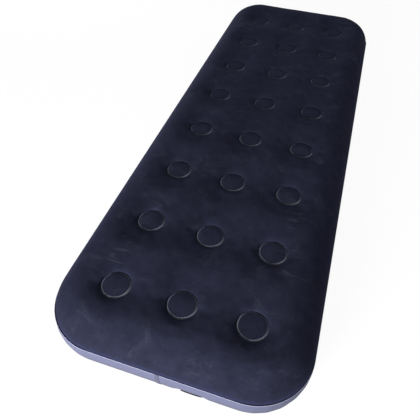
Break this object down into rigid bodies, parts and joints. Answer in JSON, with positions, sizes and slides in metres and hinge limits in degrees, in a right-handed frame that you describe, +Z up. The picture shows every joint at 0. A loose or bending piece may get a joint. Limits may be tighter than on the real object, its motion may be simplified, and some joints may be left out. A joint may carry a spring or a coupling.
{
  "type": "air mattress",
  "caption": "Single inflatable air mattress: dimpled flocked top over upright coil beams, smooth side wall band and a screw-in valve with lid in the foot end.",
  "frame": {"origin": "on the floor under the middle of the mattress", "axes": "+Z up, +Y along the mattress to the head end, +X across; the valve is in the -Y end wall"},
  "size_m": [0.6554, 1.8804, 0.2],
  "materials": {
    "flock": "short navy flock on PVC film",
    "wall_vinyl": "satin PVC film",
    "base_vinyl": "plain PVC film",
    "coil_vinyl": "plain PVC film",
    "valve_plastic": "moulded plastic",
    "valve_rubber": "soft rubber"
  },
  "bodies": {
    "mattress": {"top_sheet": "flock", "bottom_sheet": "base_vinyl", "side_wall": "wall_vinyl", "wall_seam_tape": "wall_vinyl", "coil_beam_row1_col1": "coil_vinyl", "coil_beam_row1_col2": "coil_vinyl", "coil_beam_row1_col3": "coil_vinyl", "coil_beam_row2_col1": "coil_vinyl", "coil_beam_row2_col2": "coil_vinyl", "coil_beam_row2_col3": "coil_vinyl", "coil_beam_row3_col1": "coil_vinyl", "coil_beam_row3_col2": "coil_vinyl", "coil_beam_row3_col3": "coil_vinyl", "coil_beam_row4_col1": "coil_vinyl", "coil_beam_row4_col2": "coil_vinyl", "coil_beam_row4_col3": "coil_vinyl", "coil_beam_row5_col1": "coil_vinyl", "coil_beam_row5_col2": "coil_vinyl", "coil_beam_row5_col3": "coil_vinyl", "coil_beam_row6_col1": "coil_vinyl", "coil_beam_row6_col2": "coil_vinyl", "coil_beam_row6_col3": "coil_vinyl", "coil_beam_row7_col1": "coil_vinyl", "coil_beam_row7_col2": "coil_vinyl", "coil_beam_row7_col3": "coil_vinyl", "coil_beam_row8_col1": "coil_vinyl", "coil_beam_row8_col2": "coil_vinyl", "coil_beam_row8_col3": "coil_vinyl", "valve_socket": "valve_plastic"},
    "seal": {"insert_seal": "valve_rubber"},
    "insert": {"valve_insert": "valve_plastic"},
    "poppet": {"check_poppet": "valve_rubber"},
    "lid": {"valve_lid": "valve_plastic"}
  },
  "joints": [
    {"name": "insert_rise", "type": "slide", "parent": "mattress", "child": "seal", "axis": [0, -0.937, -0.3493], "range_m": [0, 0.009]},
    {"name": "insert_turn", "type": "hinge", "parent": "seal", "child": "insert", "pos_m": [0.072, -0.9293, 0.0635], "axis": [0, -0.937, -0.3493], "range_deg": [0, 1080]},
    {"name": "lid_hinge", "type": "hinge", "parent": "insert", "child": "lid", "pos_m": [0.0993, -0.93085, 0.06292], "axis": [0, -0.3493, 0.937], "range_deg": [0, 150]},
    {"name": "poppet_lift", "type": "slide", "parent": "insert", "child": "poppet", "axis": [0, 0.937, 0.3493], "range_m": [0, 0.004]}
  ],
  "couplings": [
    {"joint": "insert_rise", "follows": "insert_turn", "m_per_rad": 0.00047746}
  ]
}
